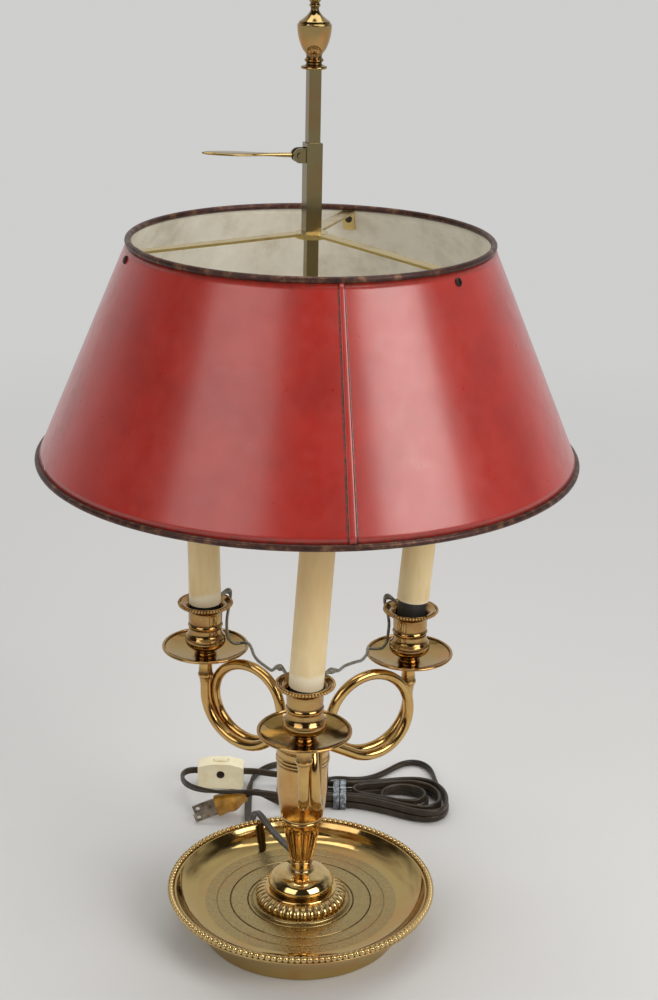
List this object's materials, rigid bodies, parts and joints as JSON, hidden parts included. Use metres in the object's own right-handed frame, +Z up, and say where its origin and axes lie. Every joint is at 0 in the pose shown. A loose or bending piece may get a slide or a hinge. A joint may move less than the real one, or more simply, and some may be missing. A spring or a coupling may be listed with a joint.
{
  "type": "table lamp",
  "caption": "Brass table lamp with looped horn arms, candle sleeve sockets, a beaded dish and a red metal shade that slides on a square shaft under a lever clamp",
  "frame": {"origin": "centre of the foot on the table, on the stem's axis", "axes": "+Z up the stem, -Y the front, towards the single front candle, +X to the right"},
  "size_m": [0.33, 0.3929, 0.6081],
  "materials": {
    "brass": "polished and lacquered, worn",
    "steel": "plain zinc plate",
    "socket": "moulded black",
    "screw_shell": "plain",
    "candle": "cream with amber drips of age",
    "link_wire": "grey-green insulation",
    "shade_paint": "semi-gloss red outside, off-white inside",
    "shade_edge": "dull gold",
    "rivet": "dull",
    "cord": "smooth dark brown",
    "tie": "soft",
    "switch": "moulded ivory",
    "plug": "translucent amber",
    "blade": "tarnished"
  },
  "bodies": {
    "lamp": {"base_dish": "brass", "dish_bead_rim": "brass", "foot_ring": "brass", "base_washer": "steel", "base_nut": "steel", "tie_rod": "steel", "plinth": "brass", "gadroon_ring": "brass", "bell_foot": "brass", "neck_collar": "brass", "column_lower": "brass", "column_fillet": "brass", "column_vase": "brass", "column_cap": "brass", "shaft_ferrule": "brass", "square_shaft": "brass", "finial": "brass", "arm_front": "brass", "arm_right": "brass", "arm_left": "brass", "arm_collars": "brass", "pan_front": "brass", "pan_right": "brass", "pan_left": "brass", "cup_front": "brass", "cup_right": "brass", "cup_left": "brass", "cup_bead_rims": "brass", "socket_stems": "steel", "socket_front": "socket", "socket_right": "socket", "socket_left": "socket", "screw_shell_front": "screw_shell", "screw_shell_right": "screw_shell", "screw_shell_left": "screw_shell", "candle_front": "candle", "candle_right": "candle", "candle_left": "candle", "link_wire_right": "link_wire", "link_wire_left": "link_wire", "cord_lead": "cord", "cord_tail": "cord", "cord_hank": "cord", "cord_plug_lead": "cord", "cord_tie": "tie", "switch_front": "switch", "switch_back": "switch", "switch_screw": "steel", "plug_body": "plug", "plug_blades": "blade"},
    "shade": {"shade_shell": "shade_paint", "shade_lower_roll": "shade_edge", "shade_upper_roll": "shade_edge", "spider": "brass", "shade_rivets": "rivet", "clamp_sleeve": "brass", "lever_pin": "brass"},
    "lever": {"clamp_lever": "brass"},
    "wheel": {"switch_wheel": "switch"}
  },
  "joints": [
    {"name": "shade_slide", "type": "slide", "parent": "lamp", "child": "shade", "axis": [0, 0, 1], "range_m": [-0.12, 0.04]},
    {"name": "lever_pivot", "type": "hinge", "parent": "shade", "child": "lever", "pos_m": [-0.00775, -0.00252, 0.515], "axis": [-0.309, 0.9511, 0], "range_deg": [0, 75]},
    {"name": "switch_wheel_turn", "type": "hinge", "parent": "lamp", "child": "wheel", "pos_m": [-0.0655, 0.188, 0.0118], "axis": [0, 1, 0], "continuous": true}
  ]
}
